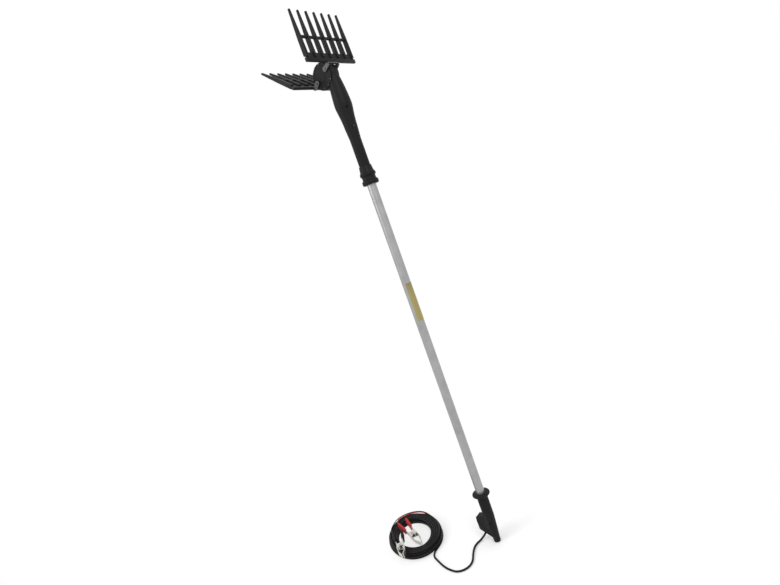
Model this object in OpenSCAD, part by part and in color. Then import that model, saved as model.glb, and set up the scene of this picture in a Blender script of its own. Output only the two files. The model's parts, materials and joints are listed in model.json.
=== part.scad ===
// Electric olive harvester: a two-rake head on an aluminium pole, with its battery cable.
// Millimetres, +Z up the pole, -Y to the front, origin at the middle of the hand grip.

/* [Pole] */
// Outside diameter of the aluminium tube
pole_d = 30; // [29:0.5:31]
// Wall of the aluminium tube
pole_wall = 1.5; // [1:0.1:2.5]
// Bare tube between the hand flange and the head collar
pole_bare = 1110; // [900:5:1400]
// Height of the blank label
label_h = 130; // [80:5:180]
// Part of the tube that the label goes round, in degrees
label_arc = 170; // [90:5:240]

/* [Handle] */
// Outside diameter of the round hand grip
grip_d = 38; // [37:0.5:42]
// Diameter of the hand flange above the grip
flange_d = 62; // [54:1:68]
// Thickness of the handle body across its split
handle_w = 28; // [27:0.5:32]
// Reach of the switch block in front of the pole axis
block_reach = 48; // [46:0.5:52]
// Most that the trigger stands out of the block
trigger_out = 6; // [4:0.5:8]

/* [Head] */
// Radius of the gear drum
drum_r = 41; // [40.5:0.5:42]
// Width of the gear drum without its cover
drum_w = 33; // [32:0.5:36]
// Lean of the head axis to the front, in degrees
head_lean = 25.5; // [24:0.5:27]
// Diameter of the two rake shafts
shaft_d = 8; // [6:0.5:8.5]

/* [Rakes] */
// Width of each comb over its base bar
rake_w = 216; // [180:2:240]
// Tines on each comb
tine_count = 7; // [5:1:8]
// Length of the tines above the base bar
tine_len = 150; // [120:1:180]
// Angle between each rake and the head axis at rest, in degrees
rake_open = 23.5; // [22:0.5:26]

/* [Cable] */
// Diameter of the supply cable
cable_d = 7; // [6:0.1:7]
// Turns in each of the four layers of the coil
layer_turns = 5; // [3:1:5]
// Diameter of the red and the black lead
lead_d = 3.6; // [3:0.1:3.8]

/* [Clamps] */
// Length of the jaws in front of the rivet
jaw_len = 48; // [40:1:54]
// Half of the spread of the clamp handles
clamp_spread = 13; // [12.5:0.5:17]

/* [Hidden] */
$fn = 64;
black_plastic = [0.13, 0.13, 0.13];
dark_rubber = [0.08, 0.08, 0.08];
bare_metal = [0.72, 0.72, 0.72];
dark_steel = [0.4, 0.4, 0.42];
brass = [0.72, 0.56, 0.3];
label_yellow = [0.62, 0.57, 0.33];
boot_red = [0.6, 0.1, 0.1];
cut = 0.5;
slip = 0.05;

// Pole and handle heights, from the middle of the grip
flange_top = 45;
flange_h = 10;
flange_z = flange_top - flange_h;
grip_bottom = -45;
block_top = -48.5;
block_bottom = -97;
block_heel = -123.4;
block_root = -4;
cap_h = 6;
floor_z = -146;
tail_z = floor_z + cap_h;
pole_r = pole_d / 2;
pole_foot = grip_bottom;
collar_z = flange_top + pole_bare;
pole_in_head = 85;
pole_top = collar_z + pole_in_head;
label_z = 690;
label_t = 0.3;
label_middle = 105;
wire_d = 6;

// Handle body
handle_wall = 3;
handle_half = handle_w / 2;
screw_r = 1.5;
screw_head_r = 2.9;
screw_head_h = 2;
handle_screw_places = [[6, -66], [1, -127], [-12, -112], [-41, -54]];
screw_seat = handle_half - 4;
tail_r = 12;
gland_lean = 35;
gland_place = [0, -30.5, -107.7];
gland_r = 5;
gland_len = 15;
gland_in = 6;

// Trigger and switch
window_half = 8.5;
window_top = -58;
window_bottom = -92;
trigger_half = 8;
trigger_top = -60;
trigger_foot = -90;
trigger_back = -block_reach + 12;
pin_place = [-block_reach + 7.5, -85.5];
trigger_pin_r = 2;
switch_z = -68;
switch_front = trigger_back + 6;
button_r = 2.5;
button_gap = 0.5;

// Head casing, heights counted from the bottom of the collar
collar_h = 60;
shell_foot = 16;
neck_r = 18;
drum_y = -27;
drum_z = collar_z + 359;
drum_wall = 2.8;
drum_half = drum_w / 2;
side_wall = 3;
cover_t = 3;
cover_r = drum_r - 2;
cover_hole_r = drum_r - 7;
cover_screw_r = drum_r - 5;
cover_screw_angles = [60, 90, 120, 240, 270, 300];
motor_foot = collar_z + 214;
motor_r = 18;
can_z = motor_foot + 8;
can_h = 53;
motor_top = can_z + can_h;
motor_shaft_r = 2.5;
armature_r = 11.5;
magnet_in = 13;
magnet_out = 16.4;
// Screws that join the two halves: [forward, height above the collar]
shell_screw_places = [[22.8, 243], [-22.8, 243], [17.6, 185], [-17.6, 185]];
shell_screw_x = [-8, 7];
boss_r = 4.5;

// Worm gear: two starts on 32 teeth
gear_module = 1;
worm_starts = 2;
wheel_teeth = 32;
wheel_r = gear_module * wheel_teeth / 2;
worm_r = 8;
worm_lead = worm_starts * PI * gear_module;
worm_len = 26;
wheel_y = -(wheel_r + worm_r);
wheel_z = drum_z - 14;
wheel_half = 4;
axle_r = 4;
bearing_z = wheel_z + worm_len / 2 + 0.6;
bearing_h = 4.8;
bearing_r = 7;

// Rockers and rods, in the frame of the head axis
pivot_out = 27;
swing = 20;
crank_throw = 1.75;
crank_r = 3;
rod_t = 3;
rod_bore_r = 8.4;
rod_eye_r = 10.8;
rod_pin_r = 2;
inner_plane = 5;
outer_plane = 8.4;
rear_lever = 12.8;
front_lever = 10;
lever_r = 6.2;
bush_r = 6.5;
arm_in = 21;
arm_out = 24.5;
shaft_r = shaft_d / 2;

// Combs, in the frame of a rake: [across, outward, along the tines]
bar_n = [14, 22.5];
bar_t = [12, 24];
web_n = [15.5, 21];
web_top = 39;
rib_t = [84, 91];
tine_top = 18 + tine_len;
tine_pitch = (rake_w - 16) / (tine_count - 1);

// Coil of the cable on the floor: oval, in four layers
coil_layers = 4;
coil_pitch = cable_d + 0.5;
coil_middle = [60, -330];
coil_turned = 148.2;
coil_inner = [64, 96];
coil_start = -70;
coil_turns = coil_layers * layer_turns - 0.75;
loop_rings = 24;
loop_sides = 6;
cable_sides = 8;

// Clamps: place of the rivet above the floor, heading and slope
red_place = [68.7, -329.8, 23.6];
red_heading = 66.6;
red_slope = -12.4;
black_place = [155, -318.5, 41.4];
black_heading = 46.4;
black_slope = 0;
clamp_size = 1.25;
handle_len = 58;
plate_t = 2;
inner_half = 6;
outer_half = 7.6;
ear_t = 1.2;
rivet_r = 2;
boot_half = 9;
boot_end = -62;
boot_front = -20;
spring_wire = 1.3;
spring_r = 3.6;
spring_pitch = 1.75;
spring_turns = 4;
curl_rings = 8;

// Small geometry helpers
function unit(v) = v / norm(v);
function last(list) = list[len(list) - 1];
function mixed(a, b, s) = a * (1 - s) + b * s;

// Outline with its corners rounded, each by a curve that starts r before the corner
function rounded(points, r, steps = 4) = [
  for (i = [0 : len(points) - 1])
    let (corner = points[i])
    let (from = points[(i + len(points) - 1) % len(points)])
    let (to = points[(i + 1) % len(points)])
    let (a = corner + unit(from - corner) * r)
    let (b = corner + unit(to - corner) * r)
    for (k = [0 : steps])
      let (s = k / steps)
      mixed(mixed(a, corner, s), mixed(corner, b, s), s)
];

// Cubic curve from a to d, pulled towards b and c
function curve(a, b, c, d, steps) = [
  for (k = [0 : steps])
    let (s = k / steps)
    let (left = mixed(mixed(a, b, s), mixed(b, c, s), s))
    let (right = mixed(mixed(b, c, s), mixed(c, d, s), s))
    mixed(left, right, s)
];

// Curves through knots, each a point and the direction of the path there
function knot_path(knots, steps) = concat(
  [for (i = [0 : len(knots) - 2])
    let (from = knots[i])
    let (to = knots[i + 1])
    let (reach = 0.37 * norm(to[0] - from[0]))
    let (span = curve(from[0], from[0] + reach * from[1], to[0] - reach * to[1], to[0], steps))
    for (k = [0 : steps - 1]) span[k]],
  [last(knots)[0]]
);

function heading(path, i) = unit(path[min(i + 1, len(path) - 1)] - path[max(i - 1, 0)]);

// Round tube along a path that never runs straight up
module tube(path, d, sides) {
  n = len(path);
  points = [
    for (i = [0 : n - 1])
      let (ahead = heading(path, i))
      let (side = unit(cross(ahead, [0, 0, 1])))
      let (up = cross(side, ahead))
      for (k = [0 : sides - 1])
        path[i] + d / 2 * (cos(360 * k / sides) * side + sin(360 * k / sides) * up)
  ];
  walls = [
    for (i = [0 : n - 2]) for (k = [0 : sides - 1]) for (half = [0, 1])
      let (a = i * sides + k)
      let (b = i * sides + (k + 1) % sides)
      half == 0 ? [a, b, b + sides] : [a, b + sides, a + sides]
  ];
  first_end = [for (k = [1 : sides - 2]) [0, k + 1, k]];
  far = (n - 1) * sides;
  far_end = [for (k = [1 : sides - 2]) [far, far + k, far + k + 1]];
  polyhedron(points, concat(walls, first_end, far_end));
}

function least_gap(path, apart, d) =
  let (end = len(path) - 1)
  min([for (i = [0 : end - apart]) for (j = [i + apart : end]) norm(path[i] - path[j])]) - d;

// Places
module in_head() {
  translate([0, drum_y, drum_z]) rotate([head_lean, 0, 0]) children();
}

// Children are drawn in the rear rake's frame, with the shaft on the X axis
module in_rake(rear) {
  in_head() mirror([0, rear ? 0 : 1, 0])
    translate([0, pivot_out, 0]) rotate([-rake_open, 0, 0]) children();
}

// Children are drawn flat, as [forward, up], and run across the handle from x0 to x1
module across(x0, x1) {
  translate([x0, 0, 0]) rotate([90, 0, 90]) linear_extrude(x1 - x0) children();
}

module along_x(x0, x1, r) {
  translate([x0, 0, 0]) rotate([0, 90, 0]) cylinder(h = x1 - x0, r = r);
}

// One half of a split casing: side is 1 for the right half, -1 for the left half
module half_of(side, size) {
  intersection() {
    children();
    translate([side > 0 ? 0 : -size, -size, -size]) cube([size, 2 * size, 4 * size]);
  }
}

// Pole
module pole_tube() {
  color(bare_metal) translate([0, 0, pole_foot]) difference() {
    cylinder(h = pole_top - pole_foot, r = pole_r);
    translate([0, 0, -cut]) cylinder(h = pole_top - pole_foot + 2 * cut, r = pole_r - pole_wall);
  }
}

module pole_label() {
  color(label_yellow) translate([0, 0, label_z]) rotate([0, 0, label_middle - label_arc / 2])
    rotate_extrude(angle = label_arc) translate([pole_r + slip, 0]) square([label_t, label_h]);
}

module pole_wiring() {
  color(dark_rubber) translate([0, 0, pole_foot]) cylinder(h = motor_foot - pole_foot, d = wire_d);
}

// Handle
module block_outline() {
  polygon(rounded([
    [block_root, block_top], [block_root, block_heel], [-block_reach, block_bottom], [-block_reach, block_top]
  ], 3.5));
}

module block_hollow() {
  front = -block_reach + handle_wall;
  polygon([
    [block_root, block_top - handle_wall], [block_root, block_heel + 3.5],
    [front, block_bottom + 1.7], [front, block_top - handle_wall]
  ]);
}

module gland_axis() {
  translate(gland_place) rotate([-gland_lean, 0, 0]) mirror([0, 0, 1]) children();
}

module handle_solid() {
  across(-handle_half, handle_half) block_outline();
  translate([0, 0, tail_z]) cylinder(h = grip_bottom - tail_z, r1 = tail_r, r2 = grip_d / 2);
  translate([0, 0, grip_bottom]) cylinder(h = flange_z - grip_bottom, d = grip_d);
}

module handle_shell(side) {
  color(black_plastic) half_of(side, 200) difference() {
    union() {
      difference() {
        handle_solid();
        across(-handle_half + handle_wall, handle_half - handle_wall) block_hollow();
        translate([0, 0, tail_z + handle_wall]) cylinder(
          h = grip_bottom - tail_z - 2 * handle_wall,
          r1 = tail_r - handle_wall, r2 = grip_d / 2 - handle_wall);
      }
      intersection() {
        handle_solid();
        for (p = handle_screw_places)
          translate([0, p[0], p[1]]) along_x(-handle_half + 1, handle_half - 1, boss_r);
      }
      for (x = [-1, 1])
        translate([x * (handle_half - 2.5), pin_place[0], pin_place[1]])
          along_x(-1.5, 1.5, trigger_pin_r + 2);
    }
    translate([0, 0, pole_foot]) cylinder(h = flange_top - pole_foot, r = pole_r);
    translate([0, 0, pole_foot - 8]) cylinder(h = 9, d = wire_d + 2);
    across(-window_half, window_half)
      polygon([
        [-block_reach - 9, window_bottom], [-block_reach + handle_wall + 0.5, window_bottom],
        [-block_reach + handle_wall + 0.5, window_top], [-block_reach - 9, window_top]
      ]);
    translate([0, pin_place[0], pin_place[1]])
      along_x(-handle_half + 2.5, handle_half - 2.5, trigger_pin_r);
    gland_axis() translate([0, 0, -gland_in]) cylinder(h = gland_in + 9, r = gland_r);
    for (p = handle_screw_places) translate([0, p[0], p[1]]) {
      along_x(-handle_half + 4, handle_half + cut, screw_r);
      along_x(screw_seat, handle_half + 9, screw_head_r);
    }
  }
}

module handle_left() {
  handle_shell(-1);
}

module handle_right() {
  handle_shell(1);
}

module handle_screws() {
  color(dark_steel) for (p = handle_screw_places) translate([0, p[0], p[1]]) {
    along_x(-handle_half + 4, screw_seat, screw_r);
    along_x(screw_seat, screw_seat + screw_head_h, screw_head_r);
  }
}

module hand_flange() {
  color(black_plastic) translate([0, 0, flange_z]) rotate_extrude() polygon([
    [pole_r, 0], [grip_d / 2 + 2, 0], [flange_d / 2 - 2.5, 2.5], [flange_d / 2, 5],
    [flange_d / 2, flange_h - 2], [flange_d / 2 - 2, flange_h], [pole_r, flange_h]
  ]);
}

module butt_cap() {
  color(dark_rubber) translate([0, 0, floor_z]) rotate_extrude()
    polygon([[0, 0], [tail_r - 2, 0], [tail_r, 2], [tail_r, cap_h], [0, cap_h]]);
}

module cable_gland() {
  color(dark_rubber) gland_axis() rotate_extrude() polygon([
    [0, -gland_in], [gland_r, -gland_in], [gland_r, 2.5], [gland_r - 0.2, 5],
    [cable_d / 2 + 0.8, gland_len], [0, gland_len]
  ]);
}

// Trigger and switch
module trigger() {
  color(black_plastic) difference() {
    across(-trigger_half, trigger_half)
      polygon(rounded([
        [trigger_back, trigger_foot], [-block_reach - 1, trigger_foot],
        [-block_reach - trigger_out, trigger_foot + 12], [-block_reach - trigger_out, trigger_top - 5],
        [-block_reach - 3, trigger_top], [trigger_back, trigger_top]
      ], 1.5));
    translate([0, pin_place[0], pin_place[1]])
      along_x(-trigger_half - cut, trigger_half + cut, trigger_pin_r + slip);
  }
}

module trigger_pin() {
  color(bare_metal) translate([0, pin_place[0], pin_place[1]])
    along_x(-handle_half + 2.5, handle_half - 2.5, trigger_pin_r);
}

module trigger_spring() {
  color(dark_steel) translate([0, pin_place[0], pin_place[1]]) difference() {
    along_x(trigger_half + 0.5, trigger_half + 1.7, trigger_pin_r + 1.2);
    along_x(trigger_half, trigger_half + 4, trigger_pin_r + slip);
  }
}

module switch_body() {
  color(black_plastic) difference() {
    translate([handle_wall - handle_half, switch_front, switch_z - 14])
      cube([handle_w - 2 * handle_wall, 14, 28]);
    translate([0, switch_front - cut, switch_z]) rotate([-90, 0, 0]) cylinder(h = 7, r = button_r + slip);
  }
}

module switch_button() {
  color(boot_red) translate([0, trigger_back + button_gap, switch_z]) rotate([-90, 0, 0])
    cylinder(h = switch_front + 2 - trigger_back - button_gap, r = button_r);
}

// Head casing
module shell_outline() {
  polygon([
    [0, shell_foot], [neck_r, shell_foot], [neck_r, 148], [19.5, 166], [20.8, 184], [21.6, 200], [23, 216],
    [25.2, 232], [27.3, 246], [28, 256], [27.6, 268], [26.4, 284], [24.6, 304], [22.4, 322],
    [19.5, 340], [15.5, 352], [11, 360], [0, 364]
  ]);
}

module shell_hollow() {
  polygon([
    [0, shell_foot - cut], [pole_r, shell_foot - cut], [pole_r, pole_in_head], [12, pole_in_head],
    [12, 88], [14.5, 92], [14.5, 190], [motor_r, 206], [motor_r, motor_top - collar_z],
    [11, motor_top - collar_z], [11, wheel_z - collar_z + worm_len / 2 + 0.6],
    [0, wheel_z - collar_z + worm_len / 2 + 0.6]
  ]);
}

module drum(r, x0, x1) {
  translate([0, drum_y, drum_z]) along_x(x0, x1, r);
}

module worm_shelf() {
  intersection() {
    translate([-drum_half, -9.5, bearing_z]) cube([drum_w, 30, bearing_h + 0.5]);
    drum(drum_r - 1, -drum_half + 1, drum_half - 1);
  }
}

module head_shell(side) {
  color(black_plastic) half_of(side, 600) difference() {
    union() {
      difference() {
        union() {
          translate([0, 0, collar_z]) rotate_extrude() shell_outline();
          drum(drum_r, -drum_half, drum_half);
        }
        translate([0, 0, collar_z]) rotate_extrude() shell_hollow();
        drum(drum_r - drum_wall, -drum_half + side_wall, drum_half - side_wall);
        drum(cover_hole_r, 0, drum_half + cut);
        for (x = [-drum_half - 14, drum_half]) drum(drum_r + 1, x, x + 14);
      }
      worm_shelf();
    }
    translate([0, 0, bearing_z - cut]) cylinder(h = bearing_h + cut, r = bearing_r);
    cylinder(h = bearing_z + 20, r = motor_shaft_r + 0.6);
    translate([0, wheel_y, wheel_z]) along_x(-drum_half - cut, 0, axle_r);
    in_head() for (y = [-pivot_out, pivot_out])
      translate([0, y, 0]) along_x(-drum_half - cut, -drum_half + side_wall + cut, bush_r);
    in_head() for (a = cover_screw_angles)
      translate([0, cover_screw_r * cos(a), cover_screw_r * sin(a)]) along_x(0, drum_half + cut, screw_r);
    for (p = shell_screw_places) translate([0, p[0], collar_z + p[1]]) {
      along_x(shell_screw_x[0], shell_screw_x[1] + cut, screw_r);
      along_x(shell_screw_x[1], shell_screw_x[1] + 20, screw_head_r + 0.3);
    }
  }
}

module head_shell_left() {
  head_shell(-1);
}

module head_shell_right() {
  head_shell(1);
}

module shell_screws() {
  color(dark_steel) for (p = shell_screw_places) translate([0, p[0], collar_z + p[1]]) {
    along_x(shell_screw_x[0], shell_screw_x[1], screw_r);
    along_x(shell_screw_x[1], shell_screw_x[1] + screw_head_h, screw_head_r);
  }
}

module gear_cover() {
  color(black_plastic) in_head() difference() {
    union() {
      along_x(drum_half, drum_half + cover_t - 1, cover_r);
      along_x(drum_half + cover_t - 1, drum_half + cover_t, cover_r - 1);
    }
    for (y = [-pivot_out, pivot_out])
      translate([0, y, 0]) along_x(drum_half - cut, drum_half + cover_t + cut, bush_r);
    for (a = cover_screw_angles)
      translate([0, cover_screw_r * cos(a), cover_screw_r * sin(a)])
        along_x(drum_half - cut, drum_half + cover_t + cut, screw_r);
  }
}

module cover_screws() {
  color(dark_steel) in_head() for (a = cover_screw_angles)
    translate([0, cover_screw_r * cos(a), cover_screw_r * sin(a)]) {
      along_x(drum_half - 2.5, drum_half + cover_t, screw_r);
      along_x(drum_half + cover_t, drum_half + cover_t + 1.6, screw_head_r - 0.4);
    }
}

module neck_collar() {
  color(black_plastic) translate([0, 0, collar_z]) difference() {
    rotate_extrude() translate([neck_r, 0]) polygon([
      [-neck_r, 0], [7, 0], [9, 3], [9, 12], [4.5, 16], [4.2, 26], [8, 30], [8, 36], [4.2, 42],
      [2.2, collar_h], [-neck_r, collar_h]
    ]);
    translate([0, 0, -cut]) cylinder(h = shell_foot + 2 * cut, r = pole_r);
    translate([0, 0, shell_foot]) cylinder(h = collar_h, r = neck_r);
  }
}

// Motor
module motor_can() {
  color(dark_steel) translate([0, 0, can_z]) difference() {
    union() {
      cylinder(h = can_h, r = motor_r);
      cylinder(h = can_h + 4, r = 6.5);
    }
    translate([0, 0, -cut]) cylinder(h = can_h - 2 + cut, r = magnet_out);
    cylinder(h = can_h + 5, r = motor_shaft_r + slip);
  }
}

module motor_magnets() {
  arc = 130;
  color(dark_steel) translate([0, 0, can_z + 6]) for (a = [0, 180]) rotate([0, 0, a - arc / 2])
    rotate_extrude(angle = arc) translate([magnet_in, 0]) square([magnet_out - magnet_in, can_h - 14]);
}

module motor_end_bell() {
  color(black_plastic) translate([0, 0, motor_foot]) difference() {
    union() {
      cylinder(h = 8, r = motor_r);
      cylinder(h = 11, r = magnet_out);
    }
    translate([0, 0, 2]) cylinder(h = 10, r = motor_shaft_r + slip);
  }
}

module motor_armature() {
  color(brass) translate([0, 0, can_z + 9]) difference() {
    cylinder(h = can_h - 18, r = armature_r);
    translate([0, 0, -cut]) cylinder(h = can_h, r = motor_shaft_r);
  }
}

module motor_shaft() {
  top = bearing_z + bearing_h - 0.3;
  color(bare_metal) translate([0, 0, motor_foot + 2.5])
    cylinder(h = top - motor_foot - 2.5, r = motor_shaft_r);
}

// Worm gear
module worm() {
  root = 6.8;
  tip = worm_r + gear_module;
  lobe = [[-46, root], [-18, tip], [0, tip], [18, tip], [46, root], [68, root], [90, root], [112, root]];
  outline = [for (s = [0 : worm_starts - 1]) for (p = lobe)
    let (a = p[0] + 360 * s / worm_starts) p[1] * [cos(a), sin(a)]];
  half_turn = 360 * worm_len / 2 / worm_lead;
  color(bare_metal) translate([0, 0, wheel_z - worm_len / 2]) difference() {
    rotate([0, 0, -90 - half_turn])
      linear_extrude(worm_len, twist = -2 * half_turn, slices = 64) polygon(outline);
    translate([0, 0, -cut]) cylinder(h = worm_len + 2 * cut, r = motor_shaft_r);
  }
}

module worm_bearing() {
  color(brass) translate([0, 0, bearing_z]) difference() {
    cylinder(h = bearing_h, r = bearing_r);
    translate([0, 0, -cut]) cylinder(h = bearing_h + 2 * cut, r = motor_shaft_r + slip);
  }
}

function crank_place() = [0, crank_throw * cos(head_lean), crank_throw * sin(head_lean)];

module worm_wheel() {
  lead_angle = atan(worm_lead / (2 * PI * worm_r));
  root = wheel_r - 1.2;
  tooth = [[-0.85, root - 0.4], [-0.5, wheel_r], [-0.28, wheel_r + gear_module],
    [0.28, wheel_r + gear_module], [0.5, wheel_r], [0.85, root - 0.4]];
  color(brass) translate([0, wheel_y, wheel_z]) {
    difference() {
      union() {
        along_x(-wheel_half, wheel_half, root);
        along_x(-wheel_half - 7, 0, 8);
        for (i = [0 : wheel_teeth - 1])
          rotate([360 * (i + 0.5) / wheel_teeth, 0, 0]) rotate([0, -lead_angle, 0])
            translate([-wheel_half, 0, 0]) rotate([0, 90, 0]) rotate([0, 0, 90])
              linear_extrude(2 * wheel_half) polygon([for (p = tooth) [p[1], p[0]]]);
      }
      along_x(-wheel_half - 8, wheel_half - 1.4, axle_r + slip);
    }
    translate(crank_place()) along_x(wheel_half - 1, outer_plane + rod_t + 0.8, crank_r);
  }
}

module wheel_axle() {
  color(bare_metal) translate([0, wheel_y, wheel_z]) along_x(-drum_half, wheel_half - 1.8, axle_r);
}

// Rockers and rods, drawn flat in the head frame as [outward, along the head axis]
function wheel_in_head() =
  let (dy = wheel_y - drum_y)
  let (dz = wheel_z - drum_z)
  [dy * cos(head_lean) + dz * sin(head_lean), dz * cos(head_lean) - dy * sin(head_lean)];
function crank_in_head() = wheel_in_head() + [crank_throw, 0];
function rear_pin() = [pivot_out + rear_lever * sin(swing / 2), rear_lever * cos(swing / 2)];
function front_pin() = [-pivot_out + front_lever * sin(swing / 2), -front_lever * cos(swing / 2)];

// Flat link between two points: straight bar with a round eye at each end
module link(a, b, eye_a, eye_b, half) {
  side = half * [a[1] - b[1], b[0] - a[0]] / norm(b - a);
  translate(a) circle(eye_a);
  translate(b) circle(eye_b);
  polygon([a + side, b + side, b - side, a - side]);
}

module flat_in_head(x0, thick) {
  in_head() across(x0, x0 + thick) children();
}

module rod(pin, plane) {
  color(dark_steel) flat_in_head(plane, rod_t) difference() {
    link(crank_in_head(), pin, rod_eye_r, 4.6, 3);
    translate(crank_in_head()) circle(rod_bore_r);
    translate(pin) circle(rod_pin_r + slip);
  }
}

module rear_rod() {
  rod(rear_pin(), inner_plane);
}

module front_rod() {
  rod(front_pin(), outer_plane);
}

module lever(pivot, pin, plane, pin_from) {
  color(dark_steel) {
    flat_in_head(plane, rod_t) difference() {
      link(pivot, pin, lever_r, 4.2, 3.6);
      translate(pivot) circle(shaft_r);
    }
    flat_in_head(pin_from, rod_t + 0.4) translate(pin) circle(rod_pin_r);
  }
}

module rear_lever_arm() {
  lever([pivot_out, 0], rear_pin(), outer_plane, inner_plane);
}

module front_lever_arm() {
  lever([-pivot_out, 0], front_pin(), inner_plane, outer_plane - 0.4);
}

module rake_shaft(rear) {
  color(bare_metal) in_rake(rear) along_x(-arm_out - 1.5, arm_out + 1.5, shaft_r);
}

module rear_shaft() {
  rake_shaft(true);
}

module front_shaft() {
  rake_shaft(false);
}

module shaft_bushes() {
  color(brass) in_head() for (y = [-pivot_out, pivot_out]) translate([0, y, 0]) difference() {
    union() {
      along_x(-drum_half - 2, -drum_half + side_wall, bush_r);
      along_x(drum_half, drum_half + cover_t + 1, bush_r);
    }
    along_x(-drum_half - 4, drum_half + cover_t + 4, shaft_r + slip);
  }
}

// Yoke under a comb: an arm on each side of the drum and a plate across, drawn as [outward, along]
module rake_yoke(rear) {
  arm = rounded([[-5, 6], [4, -7], [23, 3], [22.5, 12], [14, 12]], 2);
  color(bare_metal) in_rake(rear) difference() {
    union() {
      for (x = [-arm_out, arm_in]) across(x, x + arm_out - arm_in) {
        circle(8);
        polygon(arm);
      }
      across(-arm_out, arm_out) polygon([[14.5, 9], [22.5, 9], [22.5, 12], [14.5, 12]]);
    }
    along_x(-arm_out - 1, arm_out + 1, shaft_r);
    for (x = [-12, 12]) translate([x, 18.5, 0]) cylinder(h = 20, r = screw_r);
  }
}

module rear_yoke() {
  rake_yoke(true);
}

module front_yoke() {
  rake_yoke(false);
}

module yoke_screws(rear) {
  color(dark_steel) in_rake(rear) for (x = [-12, 12]) translate([x, 18.5, 0]) {
    translate([0, 0, 9]) cylinder(h = 11, r = screw_r);
    translate([0, 0, 7.4]) cylinder(h = 1.6, r = screw_head_r);
  }
}

module rear_yoke_screws() {
  yoke_screws(true);
}

module front_yoke_screws() {
  yoke_screws(false);
}

// A tine is deep where it leaves the base and tapers to a round tip, seen from the side and the front
module tine() {
  side_shape = rounded([[10, 30], [24.5, 26], [24, 80], [21.5, tine_top], [16, tine_top], [11, 80]], 1.8);
  front_shape = rounded([[-4.4, 26], [4.4, 26], [4, 90], [2.6, tine_top], [-2.6, tine_top], [-4, 90]], 1.8);
  intersection() {
    across(-5, 5) polygon(side_shape);
    translate([0, 40, 0]) rotate([90, 0, 0]) linear_extrude(40) polygon(front_shape);
  }
}

module comb(rear) {
  inside = rake_w / 2 - 4;
  color(black_plastic) in_rake(rear) difference() {
    union() {
      across(-rake_w / 2, rake_w / 2)
        polygon(rounded([
          [bar_n[0], bar_t[0]], [bar_n[1], bar_t[0]], [bar_n[1], bar_t[1]], [bar_n[0], bar_t[1]]
        ], 2));
      across(-inside, inside)
        polygon([[web_n[0], 20], [web_n[1], 20], [web_n[1], web_top], [web_n[0], web_top]]);
      across(-inside, inside)
        polygon(rounded([[13.5, rib_t[0]], [21.5, rib_t[0]], [21.5, rib_t[1]], [13.5, rib_t[1]]], 1.5));
      for (i = [0 : tine_count - 1])
        translate([(i - (tine_count - 1) / 2) * tine_pitch, 0, 0]) tine();
    }
    for (x = [-12, 12]) translate([x, 18.5, bar_t[0] - cut]) cylinder(h = 8 + cut, r = screw_r);
  }
}

module rear_comb() {
  comb(true);
}

module front_comb() {
  comb(false);
}

// Supply cable: free run from the gland to the coil
gland_ahead = [0, -sin(gland_lean), -cos(gland_lean)];
gland_end = gland_place + gland_len * gland_ahead;
cable_z = floor_z + cable_d / 2;

function coil_offset(t) =
  let (layer = min(floor(t / layer_turns), coil_layers - 1))
  let (along = t - layer * layer_turns)
  coil_pitch * (layer % 2 == 0 ? layer_turns - along : along);
function coil_climb(t) = coil_pitch * (
  min(1, max(0, (t - layer_turns) / 0.5 + 0.5)) +
  min(1, max(0, (t - 2 * layer_turns) / 0.5 + 0.5)) +
  min(1, max(0, (t - 3 * layer_turns) / 0.5 + 0.5)));
function coil_flat(t) =
  let (a = coil_start + 360 * t)
  let (out = unit([coil_inner[1] * cos(a), coil_inner[0] * sin(a)]))
  [coil_inner[0] * cos(a), coil_inner[1] * sin(a)] + coil_offset(t) * out;
function coil_turn(p, z) =
  [p[0] * cos(coil_turned) - p[1] * sin(coil_turned), p[0] * sin(coil_turned) + p[1] * cos(coil_turned), z];
function coil_point(t) =
  [coil_middle[0], coil_middle[1], cable_z] + coil_turn(coil_flat(t), coil_climb(t));
coil_loops = [for (i = [0 : round(coil_turns * loop_rings)]) coil_point(i / loop_rings)];
coil_first = coil_loops[0] - cable_d * unit(coil_loops[1] - coil_loops[0]);
coil_ahead = unit(last(coil_loops) - coil_point(coil_turns - 0.01));
coil_last = last(coil_loops) + cable_d * coil_ahead;
coil_path = concat([coil_first], coil_loops, [coil_last]);
// Places of the cable on the floor and its direction there, in degrees
function on_floor(x, y, turn) = [[x, y, cable_z], [cos(turn), sin(turn), 0]];
cable_knots = [
  [gland_end, gland_ahead], on_floor(26, -63, -17.5), on_floor(83, -54, 24), on_floor(134, -37, -5),
  on_floor(173.5, -80, -92), on_floor(149, -161, -117), on_floor(139, -181, -118),
  [coil_first, unit(coil_loops[1] - coil_loops[0])]
];

module supply_cable() {
  color(dark_rubber) tube(knot_path(cable_knots, 8), cable_d, cable_sides);
}

module cable_coil() {
  echo(coil_gap = least_gap(coil_path, loop_rings / 2, cable_d));
  color(dark_rubber) tube(coil_path, cable_d, loop_sides);
}

// End sleeve, where the two leads leave the cable
sleeve_len = 26;
sleeve_r = 3.9;
sleeve_end = coil_last + sleeve_len * coil_ahead;
sleeve_left = unit([-coil_ahead[1], coil_ahead[0], 0]);

module end_sleeve() {
  turn = atan2(coil_ahead[1], coil_ahead[0]);
  color(dark_rubber) translate(coil_last) rotate([0, 0, turn]) rotate([0, 90, 0])
    cylinder(h = sleeve_len, r = sleeve_r);
}

// Clamp frames: X to the jaw tips, Z along the rivet
module in_clamp(place, turn, slope) {
  translate(place + [0, 0, floor_z]) rotate([0, 0, turn]) rotate([0, -slope, 0])
    scale(clamp_size) children();
}

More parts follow.
